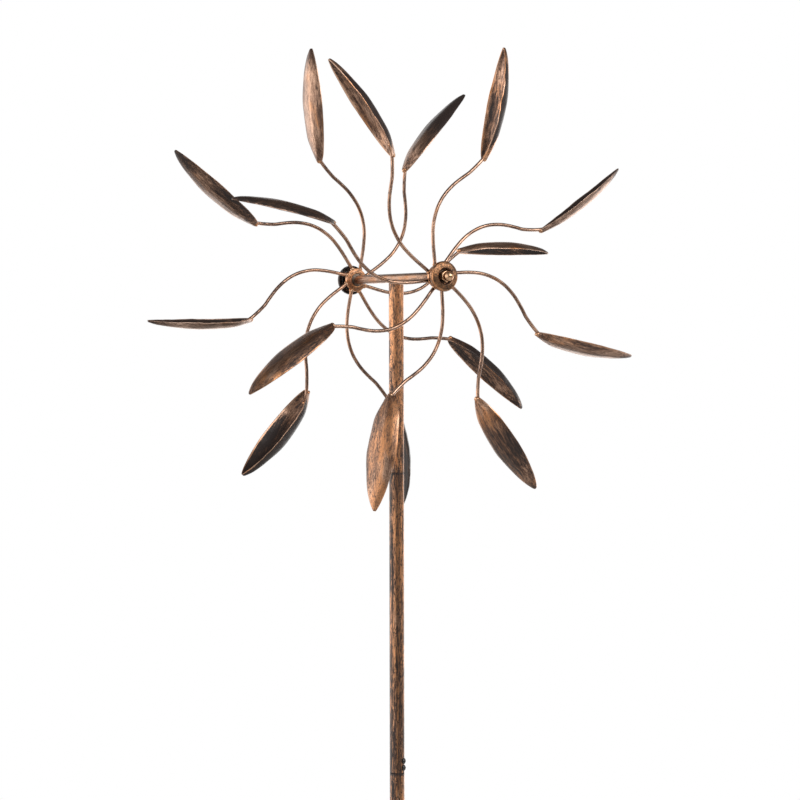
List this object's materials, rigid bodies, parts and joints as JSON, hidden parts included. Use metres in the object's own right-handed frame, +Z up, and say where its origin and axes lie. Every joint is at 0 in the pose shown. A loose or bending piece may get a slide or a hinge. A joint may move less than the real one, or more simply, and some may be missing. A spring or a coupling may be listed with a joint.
{
  "type": "wind spinner",
  "caption": "Garden wind spinner: free-turning rotors of bent rods with willow-leaf scoops at the ends of a short cross tube, on a thin sectioned pole with a push-in ground fork.",
  "frame": {"origin": "on the pole's axis at ground level, in the plane of the step bar's underside; the spikes go below it into the ground", "axes": "+Z up along the pole, Y along the rotors' axle with the front rotor at -Y, X to the right as seen from the front"},
  "size_m": [0.6073, 0.2782, 1.9038],
  "materials": {
    "antique_copper": "antique copper: copper brushed over black in streaks along each piece, satin",
    "polished_copper": "copper plated, semi-bright",
    "dark_copper": "dark antique copper, matt, worn at the edges",
    "black_screw": "black, glossy",
    "bare_steel": "zinc plated, satin",
    "bearing_steel": "ground steel with a dark seal"
  },
  "bodies": {
    "stand": {"cross_tube": "antique_copper", "axle_rod": "bare_steel", "pole_top_section": "antique_copper", "pole_upper_section": "antique_copper", "pole_lower_section": "antique_copper", "pole_bottom_section": "antique_copper", "pole_screw_1": "black_screw", "pole_screw_2": "black_screw", "pole_screw_3": "black_screw", "pole_screw_4": "black_screw", "step_bar": "dark_copper", "centre_spike": "dark_copper", "left_spike": "dark_copper", "right_spike": "dark_copper", "front_inner_washer": "bare_steel", "front_outer_washer": "bare_steel", "front_cap_nut": "polished_copper", "rear_inner_washer": "bare_steel", "rear_outer_washer": "bare_steel", "rear_cap_nut": "polished_copper"},
    "front_rotor": {"front_arm_1": "antique_copper", "front_arm_2": "antique_copper", "front_arm_3": "antique_copper", "front_arm_4": "antique_copper", "front_arm_5": "antique_copper", "front_arm_6": "antique_copper", "front_arm_7": "antique_copper", "front_arm_8": "antique_copper", "front_leaf_1": "antique_copper", "front_leaf_2": "antique_copper", "front_leaf_3": "antique_copper", "front_leaf_4": "antique_copper", "front_leaf_5": "antique_copper", "front_leaf_6": "antique_copper", "front_leaf_7": "antique_copper", "front_leaf_8": "antique_copper", "front_hub_barrel": "antique_copper", "front_hub_cover": "antique_copper", "front_inner_bearing": "bearing_steel", "front_outer_bearing": "bearing_steel"},
    "rear_rotor": {"rear_arm_1": "antique_copper", "rear_arm_2": "antique_copper", "rear_arm_3": "antique_copper", "rear_arm_4": "antique_copper", "rear_arm_5": "antique_copper", "rear_arm_6": "antique_copper", "rear_arm_7": "antique_copper", "rear_arm_8": "antique_copper", "rear_leaf_1": "antique_copper", "rear_leaf_2": "antique_copper", "rear_leaf_3": "antique_copper", "rear_leaf_4": "antique_copper", "rear_leaf_5": "antique_copper", "rear_leaf_6": "antique_copper", "rear_leaf_7": "antique_copper", "rear_leaf_8": "antique_copper", "rear_hub_barrel": "antique_copper", "rear_hub_cover": "antique_copper", "rear_inner_bearing": "bearing_steel", "rear_outer_bearing": "bearing_steel"}
  },
  "joints": [
    {"name": "front_spin", "type": "hinge", "parent": "stand", "child": "front_rotor", "pos_m": [0, -0.1088, 1.4181], "axis": [0, 1, 0], "continuous": true},
    {"name": "rear_spin", "type": "hinge", "parent": "stand", "child": "rear_rotor", "pos_m": [0, 0.1088, 1.4181], "axis": [0, 1, 0], "continuous": true}
  ]
}
